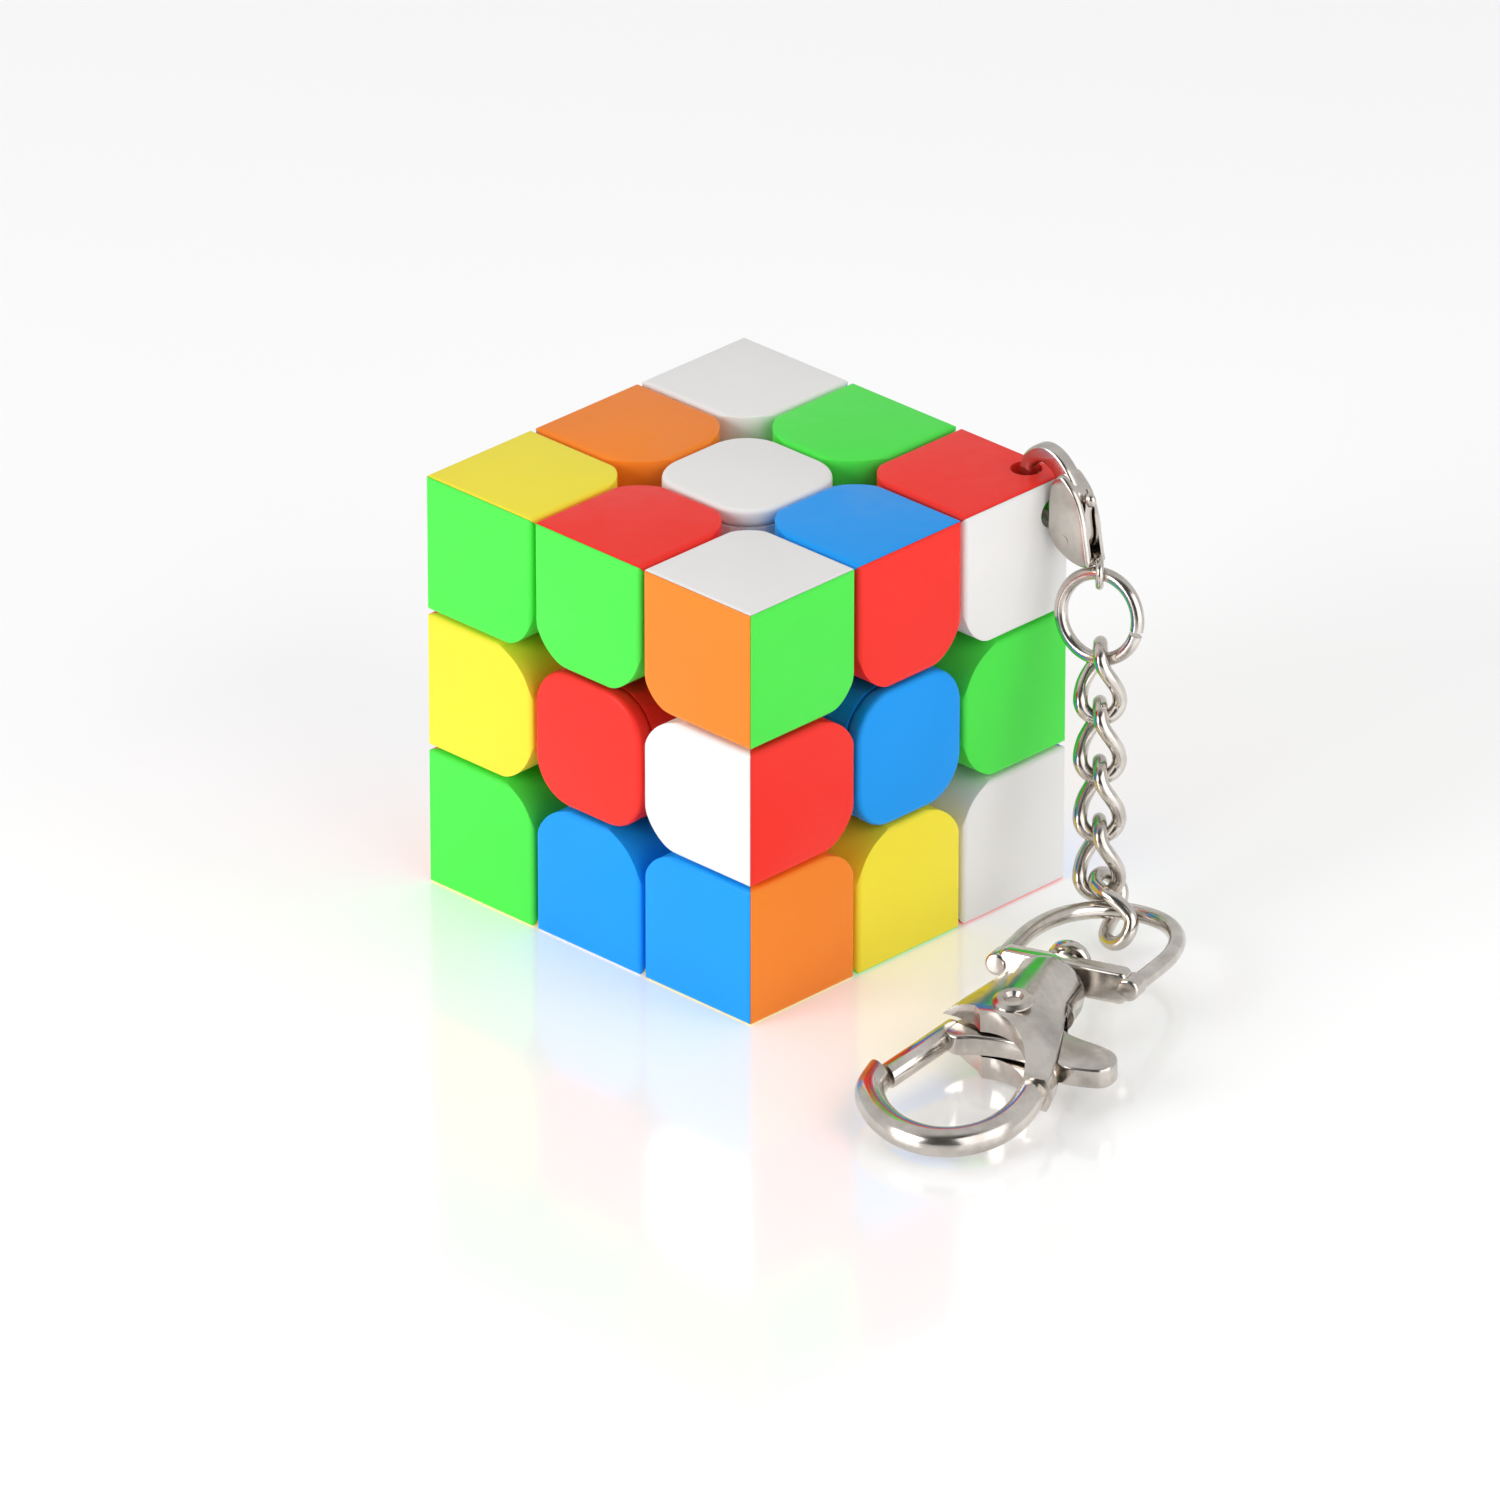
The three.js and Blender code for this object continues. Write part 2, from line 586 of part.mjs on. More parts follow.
const yaw = THREE.MathUtils.degToRad(RING_YAW);
const ringAcross = RIGHT.clone().multiplyScalar(Math.cos(yaw)).addScaledVector(FRONT, Math.sin(yaw));
const ringCentre = EYE.clone().addScaledVector(UP, -0.05).addScaledVector(DOWN, RING_R);
const split = THREE.MathUtils.degToRad(74);
add('jump_ring', geometryOf(solid(new THREE.ExtrudeGeometry(circleShape(RING_WIRE, RING_WIRE, 8), {
  steps: 22, extrudePath: new RingArc(ringCentre, ringAcross, DOWN, RING_R, split, 0.1),
}))), metal('nickel'));

function link(name, curve) {
  const g = new THREE.TubeGeometry(curve, 22, LINK_WIRE, 8, true);
  add(name, geometryOf(solid(g)), metal('nickel'));
}

const ringBottom = ringCentre.clone().addScaledVector(DOWN, RING_R);
let top = ringBottom.clone().addScaledVector(RIGHT, 0.1)
  .addScaledVector(DOWN, -(RING_WIRE + LINK_WIRE + LINK_GAP));
for (let i = 1; i <= 4; i += 1) {
  link(`chain_link_${i}`, new LinkCurve(top, DOWN, FRONT, LINK_LENGTH, LINK_ARC));
  const bottom = top.clone().addScaledVector(DOWN, LINK_LENGTH);
  top = bottom.addScaledVector(DOWN, -(2 * LINK_WIRE + LINK_GAP));
}

add('hook_body', geometryOf(hookBodySolid()).applyMatrix4(hookFrame()), metal('nickel'));
add('hook_gate', geometryOf(hookGateSolid()).applyMatrix4(hookFrame()), metal('nickel'));
const hookRivet = rivetSolid(6.3, 0.75, 1.6, 0.2);
hookRivet.rotateX(Math.PI / 2);
hookRivet.translate(HOOK_PIVOT[0], HOOK_PIVOT[1], 0);
add('hook_rivet', geometryOf(solid(hookRivet)).applyMatrix4(hookFrame()), metal('nickel'));
const hookSpring = springGeometry(0.72, 0.2, -2.5, 1.9, 4, 28);
hookSpring.rotateX(-Math.PI / 2);
hookSpring.translate(1.95, 0, 0);
add('hook_spring', geometryOf(solid(hookSpring)).applyMatrix4(hookFrame()), metal('spring'));
const postHole = solid(rod([0, 2, 0], [0, 8, 0], POST_R + 0.3, 12));
const holeInWorld = solid(geometryOf(postHole).applyMatrix4(hookFrame()));
const swivelRing = solid(geometryOf(dRingSolid()).applyMatrix4(dRingFrame())).subtract(holeInWorld);
add('swivel_ring', geometryOf(swivelRing), metal('nickel'));

// The last link lies askew between the end of link 4 and the swivel ring.
const last = new LinkCurve(LAST_TOP, LAST_DOWN, LAST_FIRST, LINK_LENGTH, LINK_ARC);
link('chain_link_5', last);

export default part;
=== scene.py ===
import json
import math
import bmesh
import bpy
from mathutils import Matrix, Vector


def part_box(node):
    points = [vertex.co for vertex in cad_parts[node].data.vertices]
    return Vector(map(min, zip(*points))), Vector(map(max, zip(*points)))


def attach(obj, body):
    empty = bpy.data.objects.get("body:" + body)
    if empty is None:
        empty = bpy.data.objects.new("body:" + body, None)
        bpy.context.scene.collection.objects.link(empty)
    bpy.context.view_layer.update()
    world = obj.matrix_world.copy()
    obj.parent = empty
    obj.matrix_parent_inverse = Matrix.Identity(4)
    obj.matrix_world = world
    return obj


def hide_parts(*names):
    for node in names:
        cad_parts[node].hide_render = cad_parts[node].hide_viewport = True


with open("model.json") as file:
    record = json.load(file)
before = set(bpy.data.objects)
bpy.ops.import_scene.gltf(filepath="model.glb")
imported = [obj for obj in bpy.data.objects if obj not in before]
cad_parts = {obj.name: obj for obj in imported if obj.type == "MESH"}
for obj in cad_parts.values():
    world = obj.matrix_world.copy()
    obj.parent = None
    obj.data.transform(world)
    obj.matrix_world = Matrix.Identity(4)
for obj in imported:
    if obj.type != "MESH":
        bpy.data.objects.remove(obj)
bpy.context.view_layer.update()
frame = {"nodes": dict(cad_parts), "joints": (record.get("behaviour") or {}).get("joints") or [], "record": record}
JOINT = {j["name"]: j for j in frame["joints"]}
MM = 0.001

# ---------------------------------------------------------------- materials
def new_material(name):
    m = bpy.data.materials.new(name)
    m.use_nodes = True
    nt = m.node_tree
    return m, nt, nt.nodes["Principled BSDF"]


def noise(nt, scale, detail=3.0, rough=0.5):
    co = nt.nodes.new("ShaderNodeTexCoord")
    n = nt.nodes.new("ShaderNodeTexNoise")
    n.inputs["Scale"].default_value = scale
    n.inputs["Detail"].default_value = detail
    n.inputs["Roughness"].default_value = rough
    nt.links.new(co.outputs["Object"], n.inputs["Vector"])
    return n


def ramp(nt, src, stops):
    r = nt.nodes.new("ShaderNodeValToRGB")
    els = r.color_ramp.elements
    while len(els) < len(stops):
        els.new(0.5)
    for e, (p, c) in zip(els, stops):
        e.position = p
        e.color = (*c, 1) if len(c) == 3 else (c[0], c[0], c[0], 1)
    nt.links.new(src, r.inputs["Fac"])
    return r


def bump(nt, b, src, strength, distance):
    n = nt.nodes.new("ShaderNodeBump")
    n.inputs["Strength"].default_value = strength
    n.inputs["Distance"].default_value = distance
    nt.links.new(src, n.inputs["Height"])
    nt.links.new(n.outputs["Normal"], b.inputs["Normal"])


def plastic(name, rgb):
    m, nt, b = new_material(name)
    broad = noise(nt, 60, 2)
    dark = tuple(c * 0.95 for c in rgb)
    r = ramp(nt, broad.outputs["Fac"], [(0.3, dark), (0.7, rgb)])
    nt.links.new(r.outputs["Color"], b.inputs["Base Color"])
    fine = noise(nt, 900, 4)
    rr = ramp(nt, fine.outputs["Fac"], [(0.3, (0.30,)), (0.7, (0.42,))])
    nt.links.new(rr.outputs["Color"], b.inputs["Roughness"])
    b.inputs["Specular IOR Level"].default_value = 0.18
    b.inputs["Subsurface Weight"].default_value = 0.12
    b.inputs["Subsurface Radius"].default_value = (0.0012, 0.0010, 0.0008)
    b.inputs["Subsurface Scale"].default_value = 1.0
    bump(nt, b, fine.outputs["Fac"], 0.06, 0.00004)
    return m


def metal(name, light, dark, low, high):
    m, nt, b = new_material(name)
    patch = noise(nt, 260, 5, 0.6)
    r = ramp(nt, patch.outputs["Fac"], [(0.28, dark), (0.62, light)])
    nt.links.new(r.outputs["Color"], b.inputs["Base Color"])
    rr = ramp(nt, patch.outputs["Fac"], [(0.3, (high,)), (0.68, (low,))])
    nt.links.new(rr.outputs["Color"], b.inputs["Roughness"])
    b.inputs["Metallic"].default_value = 1.0
    fine = noise(nt, 1500, 3)
    bump(nt, b, fine.outputs["Fac"], 0.12, 0.00003)
    return m


RGB = {
    "white": (0.90, 0.885, 0.87), "yellow": (1.0, 0.84, 0.05), "red": (1.0, 0.035, 0.024),
    "orange": (1.0, 0.26, 0.025), "green": (0.085, 0.87, 0.085), "blue": (0.008, 0.35, 0.97),
}
PLASTIC = {c: plastic(c + "_plastic", v) for c, v in RGB.items()}
NICKEL = metal("nickel", (0.70, 0.655, 0.605), (0.44, 0.405, 0.37), 0.10, 0.28)
SCREW = metal("screw_steel", (0.62, 0.62, 0.64), (0.5, 0.5, 0.52), 0.22, 0.36)
SPRING = metal("spring_steel", (0.66, 0.66, 0.69), (0.52, 0.52, 0.55), 0.18, 0.3)
CORE = plastic("core_plastic", (0.8, 0.79, 0.77))


# ---------------------------------------------------------------- mesh helpers, in mm
def link_object(name, mesh, material):
    mesh.materials.clear()
    mesh.materials.append(material)
    o = bpy.data.objects.new(name, mesh)
    bpy.context.scene.collection.objects.link(o)
    return o


def mesh_of(bm):
    bmesh.ops.recalc_face_normals(bm, faces=bm.faces)
    me = bpy.data.meshes.new("m")
    bm.to_mesh(me)
    bm.free()
    return me


def applied(mesh, *steps):
    """The mesh with modifiers applied; each step is (type, settings)."""
    o = bpy.data.objects.new("work", mesh)
    bpy.context.scene.collection.objects.link(o)
    helpers = []
    for kind, settings in steps:
        mod = o.modifiers.new("m", kind)
        for k, v in settings.items():
            if k == "object":
                h = bpy.data.objects.new("helper", v)
                bpy.context.scene.collection.objects.link(h)
                helpers.append(h)
                v = h
            setattr(mod, k, v)
    bpy.context.view_layer.update()
    dg = bpy.context.evaluated_depsgraph_get()
    out = bpy.data.meshes.new_from_object(o.evaluated_get(dg))
    for x in helpers + [o]:
        bpy.data.objects.remove(x)
    return out


def cut(mesh, operation, *tools):
    for t in tools:
        mesh = applied(mesh, ("BOOLEAN", {"operation": operation, "solver": "EXACT", "object": t}))
    return mesh


def bevelled(mesh, width, segments=3, angle=35):
    return applied(mesh, ("BEVEL", {
        "width": width, "segments": segments, "limit_method": "ANGLE", "angle_limit": math.radians(angle)}))


def arc_rect(x0, x1, y0, y1, radii):
    pts = []
    corners = [(x0, y0, 180, radii[0]), (x1, y0, 270, radii[1]),
               (x1, y1, 0, radii[2]), (x0, y1, 90, radii[3])]
    for x, y, start, r in corners:
        cx = x + (r if x == x0 else -r)
        cy = y + (r if y == y0 else -r)
        n = 14 if r > 1.5 else 5
        for i in range(n + 1):
            t = math.radians(start + 90 * i / n)
            pts.append((cx + r * math.cos(t), cy + r * math.sin(t)))
    return pts


def prism(points, low, high, axes="xyz"):
    """Points in the first two of axes, made thick along the third."""
    bm = bmesh.new()
    order = ["xyz".index(a) for a in axes]

    def vert(p, w):
        c = [0, 0, 0]
        c[order[0]], c[order[1]], c[order[2]] = p[0], p[1], w
        return bm.verts.new(c)

    a = [vert(p, low) for p in points]
    b = [vert(p, high) for p in points]
    bm.faces.new(a)
    bm.faces.new(b[::-1])
    for i in range(len(points)):
        j = (i + 1) % len(points)
        bm.faces.new([a[i], a[j], b[j], b[i]])
    return mesh_of(bm)


def ball(r, u=64, v=32):
    bm = bmesh.new()
    bmesh.ops.create_uvsphere(bm, u_segments=u, v_segments=v, radius=r)
    return mesh_of(bm)


def rod(a, b, r, sides=32):
    a, b = Vector(a), Vector(b)
    bm = bmesh.new()
    bmesh.ops.create_cone(bm, cap_ends=True, segments=sides, radius1=r, radius2=r,
                          depth=(b - a).length)
    q = (b - a).to_track_quat("Z", "Y")
    bmesh.ops.transform(bm, matrix=Matrix.Translation((a + b) / 2) @ q.to_matrix().to_4x4(), verts=bm.verts)
    return mesh_of(bm)


def half_space(mesh, planes):
    """Keeps the side each normal points to, and closes the cut."""
    bm = bmesh.new()
    bm.from_mesh(mesh)
    for point, normal in planes:
        r = bmesh.ops.bisect_plane(
            bm, geom=bm.verts[:] + bm.edges[:] + bm.faces[:], dist=1e-5, plane_co=point,
            plane_no=normal, clear_inner=True)
        edges = [e for e in r["geom_cut"] if isinstance(e, bmesh.types.BMEdge) and e.is_boundary]
        if edges:
            bmesh.ops.triangle_fill(bm, use_beauty=True, use_dissolve=True, edges=edges)
    return mesh_of(bm)


def merged(*meshes):
    bm = bmesh.new()
    for m in meshes:
        bm.from_mesh(m)
    return mesh_of(bm)


def placed(mesh, matrix):
    out = mesh.copy()
    out.transform(Matrix.Diagonal((MM, MM, MM, 1)) @ matrix)
    return out


def smooth(o, angle=32):
    for p in o.data.polygons:
        p.use_smooth = True
    bm = bmesh.new()
    bm.from_mesh(o.data)
    for e in bm.edges:
        e.smooth = len(e.link_faces) != 2 or e.calc_face_angle(0) < math.radians(angle)
    bm.to_mesh(o.data)
    bm.free()


def piece(name, mesh, matrix, material, slot, body, *nodes, angle=32):
    o = link_object(name, placed(mesh, matrix), material)
    smooth(o, angle)
    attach(o, body)
    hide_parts(*nodes)
    return o


# ---------------------------------------------------------------- the cube
CUBE = 35.0
HALF = CUBE / 2
CUT = CUBE / 6
GAP = 0.15
IN, OUT = CUT + GAP, CUT - GAP
ROUND, EDGE_ROUND, LIP = 3.6, 4.4, 0.45
SEAM = 0.02
TILE_BEVEL = 0.32
CAP_LOW, CAP_BEVEL = 16.0, 0.42
# a foot is a ball of FOOT_R beyond FOOT_LOW, and a neck ball of NECK_R beyond NECK_LOW
FOOT_R, NECK_R, FOOT_LOW, NECK_LOW, EDGE_FOOT_HALF = 12.35, 13.6, 4.15, 6.1, 3.85
EDGE_HOLLOW_R = 13.0
TOP_X, SIDE_Z, TUNNEL_Y, TUNNEL_R = 14.7, 32.2, 15.6, 1.25

LETTER = {"W": "white", "Y": "yellow", "R": "red", "O": "orange", "G": "green", "B": "blue"}
# rows from + to - of the second axis named, columns from - to + of the first
FACES = {
    "+z": ("xy", ["WGR", "OWB", "YRW"]), "-z": ("xy", ["YOR", "OYG", "YWY"]),
    "-y": ("xz", ["GGO", "YRW", "GBB"]), "+y": ("xz", ["BWG", "YOO", "RYB"]),
    "+x": ("yz", ["GRW", "RBG", "OYW"]), "-x": ("yz", ["RBO", "RGB", "OWB"]),
}


def colour_at(cell, face):
    axes, rows = FACES[face]
    a, b = cell["xyz".index(axes[0])], cell["xyz".index(axes[1])]
    return LETTER[rows[1 - b][a + 1]]


def face_of(v):
    i = max(range(3), key=lambda k: abs(v[k]))
    return ("+" if v[i] > 0 else "-") + "xyz"[i]


def cell_of(v):
    return tuple(0 if abs(c) < 0.3 else (1 if c > 0 else -1) for c in v)


def quarter(k):
    return Matrix.Rotation(k * math.pi / 2, 4, "Z")


LIFT = Matrix.Translation((0, 0, HALF))
FLIP = Matrix.Rotation(math.pi, 4, "X")
TO_SIDE = Matrix.Rotation(-math.pi / 2, 4, "X")
CYCLE = Matrix(((0, 0, 1, 0), (1, 0, 0, 0), (0, 1, 0, 0), (0, 0, 0, 1)))
SWAP = Matrix.Rotation(math.pi, 4, Vector((1, 0, 1)))


def corner_shell():
    face = arc_rect(IN, HALF, IN, HALF, [ROUND, LIP, LIP, LIP])
    s = cut(prism(face, 0, HALF + 1, "xyz"), "INTERSECT",
            prism(face, 0, HALF + 1, "yzx"), prism(face, 0, HALF + 1, "zxy"))
    return bevelled(s, TILE_BEVEL)


def edge_shell():
    across = arc_rect(IN, HALF, IN, HALF, [ROUND, LIP, LIP, LIP])
    xy = arc_rect(IN, HALF, -OUT, OUT, [EDGE_ROUND, LIP, LIP, EDGE_ROUND])
    yz = arc_rect(-OUT, OUT, IN, HALF, [EDGE_ROUND, EDGE_ROUND, LIP, LIP])
    s = cut(prism(across, -OUT, OUT, "zxy"), "INTERSECT",
            prism(xy, 0, HALF + 1, "xyz"), prism(yz, 0, HALF + 1, "yzx"))
    return cut(bevelled(s, TILE_BEVEL), "DIFFERENCE", ball(EDGE_HOLLOW_R))


def foot(side=None):
    parts = []
    for radius, low in ((FOOT_R, FOOT_LOW), (NECK_R, NECK_LOW)):
        planes = [((low, 0, 0), (1, 0, 0)), ((0, 0, low), (0, 0, 1))]
        if side is None:
            planes.append(((0, low, 0), (0, 1, 0)))
        else:
            planes += [((0, -side, 0), (0, 1, 0)), ((0, side, 0), (0, -1, 0))]
        parts.append(half_space(ball(radius), planes))
    return merged(*parts)


BODY = {n: b for b, ns in frame["record"]["behaviour"]["bodies"].items() for n in ns}
shell = corner_shell()
CORNER_TILE = half_space(shell, [((0, 0, SEAM), (-1, 0, 1)), ((0, 0, SEAM), (0, -1, 1))])
CORNER_FOOT = foot()
EDGE_TILE = half_space(edge_shell(), [((0, 0, SEAM), (-1, 0, 1))])
EDGE_FOOT = foot(EDGE_FOOT_HALF)


def cubie(node, matrix, tile, turns, foot_mesh, tunnel=False):
    body = BODY[node]
    centre = matrix.to_3x3() @ (Vector((1, 1, 1)) if len(turns) == 3 else Vector((1, 0, 1)))
    cell = cell_of(centre)
    first = None
    for turn in turns:
        face = face_of(matrix.to_3x3() @ (turn.to_3x3() @ Vector((0, 0, 1))))
        colour = colour_at(cell, face)
        first = first or colour
        mesh = tile
        m = matrix @ turn
        if tunnel:
            world = tile.copy()
            world.transform(m)
            z = SIDE_Z - HALF
            mesh = cut(world, "DIFFERENCE",
                       rod((TOP_X, TUNNEL_Y, z - 0.2), (TOP_X, TUNNEL_Y, HALF + 1), TUNNEL_R),
                       rod((TOP_X - 0.9, TUNNEL_Y, z), (HALF + 1, TUNNEL_Y, z), TUNNEL_R))
            m = Matrix.Identity(4)
        side = {"+": "plus_", "-": "minus_"}[face[0]] + face[1]
        piece(f"{node}_tile_{side}", mesh, LIFT @ m, PLASTIC[colour], colour + "_plastic", body, node)
    piece(f"{node}_foot", foot_mesh, LIFT @ matrix, PLASTIC[first], first + "_plastic", body, node)


I4 = Matrix.Identity(4)
for k, where in enumerate(["right_back", "left_back", "left_front", "right_front"]):
    turns = [I4, CYCLE, CYCLE @ CYCLE]
    cubie("corner_top_" + where, quarter(k), CORNER_TILE, turns, CORNER_FOOT, tunnel=k == 0)
    cubie("corner_bottom_" + where, quarter(k + 1) @ FLIP, CORNER_TILE, turns, CORNER_FOOT)
    cubie("edge_upright_" + where, quarter(k) @ TO_SIDE, EDGE_TILE, [I4, SWAP], EDGE_FOOT)
for k, where in enumerate(["right", "back", "left", "front"]):
    cubie("edge_top_" + where, quarter(k), EDGE_TILE, [I4, SWAP], EDGE_FOOT)
    cubie("edge_bottom_" + where, quarter(k) @ FLIP, EDGE_TILE, [I4, SWAP], EDGE_FOOT)

TO_X = Matrix.Rotation(math.pi / 2, 4, "Y")
SIDES = {"top": (I4, "white"), "bottom": (FLIP, "yellow"), "right": (TO_X, "blue"),
         "back": (quarter(1) @ TO_X, "orange"), "left": (quarter(2) @ TO_X, "green"),
         "front": (quarter(3) @ TO_X, "red")}
CAP = bevelled(prism(arc_rect(-OUT, OUT, -OUT, OUT, [ROUND] * 4), CAP_LOW, HALF), CAP_BEVEL, 4)
for side, (m, colour) in SIDES.items():
    piece(f"centre_cap_{side}_plate", CAP, LIFT @ m, PLASTIC[colour], colour + "_plastic",
          BODY["centre_cap_" + side], "centre_cap_" + side)

# ---------------------------------------------------------------- wire pieces
def sweep(points, r, sides=16, closed=True):
    """A round wire along points, with a frame carried along it and no twist jump where it closes."""
    n = len(points)
    tangents = []
    for i in range(n):
        a = points[i - 1] if closed or i else points[i]
        b = points[(i + 1) % n] if closed or i < n - 1 else points[i]
        tangents.append((b - a).normalized())
    normal = tangents[0].orthogonal().normalized()
    frames = []
    for i, t in enumerate(tangents):
        if i:
            normal = tangents[i - 1].rotation_difference(t) @ normal
        normal = (normal - t * normal.dot(t)).normalized()
        frames.append(normal.copy())
    drift = 0.0
    if closed:
        last = tangents[-1].rotation_difference(tangents[0]) @ frames[-1]
        drift = math.atan2(tangents[0].dot(last.cross(frames[0])), last.dot(frames[0]))
    bm = bmesh.new()
    rings = []
    for i, (p, t, f) in enumerate(zip(points, tangents, frames)):
        f = Matrix.Rotation(drift * i / n, 3, t) @ f
        g = t.cross(f)
        ring = []
        for k in range(sides):
            a = 2 * math.pi * k / sides
            ring.append(bm.verts.new(p + f * (r * math.cos(a)) + g * (r * math.sin(a))))
        rings.append(ring)
    for i in range(n if closed else n - 1):
        a, b = rings[i], rings[(i + 1) % n]
        for k in range(sides):
            bm.faces.new([a[k], a[(k + 1) % sides], b[(k + 1) % sides], b[k]])
    if not closed:
        bm.faces.new(rings[0])
        bm.faces.new(rings[-1][::-1])
    return mesh_of(bm)


def catmull(points, per=8, closed=False):
    pts = [Vector(p) for p in points]
    n = len(pts)
    out = []
    for i in range(n if closed else n - 1):
        p0 = pts[(i - 1) % n] if closed or i else pts[0] * 2 - pts[1]
        p1, p2 = pts[i], pts[(i + 1) % n]
        p3 = pts[(i + 2) % n] if closed or i + 2 < n else pts[-1] * 2 - pts[-2]
        for s in range(per):
            t = s / per
            out.append(0.5 * ((2 * p1) + (p2 - p0) * t + (2 * p0 - 5 * p1 + 4 * p2 - p3) * t * t
                              + (3 * p1 - p0 - 3 * p2 + p3) * t ** 3))
    if not closed:
        out.append(pts[-1])
    return out


def at(name):
    return Vector(JOINT[name]["pos_m"]) / MM


def along(name):
    return Vector(JOINT[name]["axis"]).normalized()


LINK_WIRE, LINK_ARC, RING_WIRE, RING_R = 0.57, 1.52, 0.53, 3.38
top_1, top_3 = at("link_1_tilt"), at("link_3_tilt")
down = (top_3 - top_1).normalized()
pitch = (top_3 - top_1).length / 2
length = (at("link_2_swing") - top_1).length
front = along("link_1_tilt")


def link_points(top, way, first, n=96):
    second = first.cross(way).normalized()
    straight, bend = length - 2 * LINK_ARC, math.pi * LINK_ARC
    whole = 2 * straight + 2 * bend
    out = []
    for i in range(n):
        s = whole * i / n
        if s < bend:
            al, side = LINK_ARC - LINK_ARC * math.sin(s / LINK_ARC), -LINK_ARC * math.cos(s / LINK_ARC)
        elif s < bend + straight:
            al, side = LINK_ARC + s - bend, LINK_ARC
        elif s < 2 * bend + straight:
            u = (s - bend - straight) / LINK_ARC
            al, side = length - LINK_ARC + LINK_ARC * math.sin(u), LINK_ARC * math.cos(u)
        else:
            al, side = length - LINK_ARC - (s - 2 * bend - straight), -LINK_ARC
        f = min(1, max(0, (al - LINK_ARC / 2) / (length - LINK_ARC)))
        tw = f * f * (3 - 2 * f) * math.pi / 2
        out.append(top + way * al + first * (side * math.cos(tw)) + second * (side * math.sin(tw)))
    return out


for i in range(1, 5):
    piece(f"chain_link_{i}_wire", sweep(link_points(top_1 + down * pitch * (i - 1), down, front), LINK_WIRE),
          I4, NICKEL, "nickel", f"chain_link_{i}", f"chain_link_{i}", angle=60)
way_5 = (at("swivel_ring_tilt") - at("link_5_tilt")).normalized()
piece("chain_link_5_wire", sweep(link_points(at("link_5_tilt"), way_5, along("link_5_tilt")), LINK_WIRE),
      I4, NICKEL, "nickel", "chain_link_5", "chain_link_5", angle=60)

across = along("jump_ring_swing")
eye = at("jump_ring_swing")
centre = eye + down * RING_R
gap_at, gap = math.radians(74), 0.1
ring = []
for i in range(97):
    a = gap_at + gap / 2 + (2 * math.pi - gap) * i / 96
    ring.append(centre + across * (RING_R * math.sin(a)) + down * (RING_R * math.cos(a)))
piece("jump_ring_wire", sweep(ring, RING_WIRE, closed=False), I4, NICKEL, "nickel", "jump_ring", "jump_ring",
      angle=60)


# ---------------------------------------------------------------- lobster clasp
# outlines are (x, z) from the pivot of its lever
PIVOT = at("clasp_lever_pull")


def from_pivot(points):
    return [(PIVOT.x + x, PIVOT.z + z) for x, z in points]


def flat(points, y0, half, bevel, per=5):
    pts = [(p.x, p.y) for p in catmull([(x, z, 0) for x, z in from_pivot(points)], per, closed=True)]
    return bevelled(prism(pts, y0 - half, y0 + half, "xzy"), bevel, 3, 50)


lo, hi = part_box("clasp_body")
y = (lo.y + hi.y) / 2 / MM
clasp_hook = flat([
    (-5.2, 2.2), (-5.25, 4.3), (-4.8, 5.6), (-3.8, 6.6), (-2.7, 6.95), (-1.5, 6.7), (-0.4, 5.9),
    (0.6, 4.6), (1.2, 3.3), (-0.2, 3), (-1.4, 3.3), (-1.4, 4.4), (-1.9, 5.1), (-2.8, 5.45),
    (-3.6, 5.15), (-4.1, 4.4), (-4.15, 2.2)], y, 0.6, 0.25)
cheeks = flat([
    (-1.45, 4.3), (-1.75, 2.5), (-1.75, 0.4), (-1.1, -0.8), (0.3, -1.55), (1.6, -1.75), (2.5, -1.5),
    (2.4, -0.7), (2.15, 0.7), (1.9, 2.1), (1.3, 3.7), (0.5, 4.7), (-0.5, 5.3)], y, 1.05, 0.3)
SLOT = [(-2.7, -0.7), (-0.1, -0.95), (4.3, -0.9), (4.3, 4.2), (0.9, 4.2), (0.3, 3.5), (-2.7, 3.5)]
slot_cut = prism(from_pivot(SLOT), y - 0.55, y + 0.55, "xzy")
loop_axis = along("link_2_swing")
eye_centre = eye + Vector((0, 0, 0.05))
loop_pts = []
u = loop_axis.orthogonal().normalized()
w = loop_axis.cross(u)
for i in range(64):
    a = 2 * math.pi * i / 64
    loop_pts.append(eye_centre + u * (1.02 * math.cos(a)) + w * (1.02 * math.sin(a)))
body_mesh = merged(clasp_hook, cut(cheeks, "DIFFERENCE", slot_cut), sweep(loop_pts, 0.32, 12))
piece("clasp_body_cast", body_mesh, I4, NICKEL, "nickel", "clasp", "clasp_body")
arm = flat([
    (-0.7, -0.65), (0.7, -0.7), (1.5, -0.45), (1.8, 0.7), (1.6, 2.3), (1.75, 3.5), (1.2, 3.65),
    (0.8, 2.6), (0.7, 1.5), (0.3, 0.7), (-0.8, 0.6)], y, 0.4, 0.1)
nub = ball(0.58, 24, 16)
nub.transform(Matrix.Translation((PIVOT.x + 1.7, y, PIVOT.z + 3.65)) @ Matrix.Diagonal((1, 0.72, 1, 1)))
pin = rod((PIVOT.x - 0.1, y, PIVOT.z), (PIVOT.x - 3.95, y, PIVOT.z + 1.3), 0.33, 24)
piece("clasp_lever_cast", merged(arm, pin, nub), I4, NICKEL, "nickel", "clasp_lever", "clasp_lever")

# ---------------------------------------------------------------- swivel snap hook, in its own frame
HY, HZ = along("hook_swivel"), along("hook_gate_open")
HX = HY.cross(HZ).normalized()
HOOK = Matrix.Translation(at("hook_swivel")) @ Matrix((HX, HY, HZ)).transposed().to_4x4()


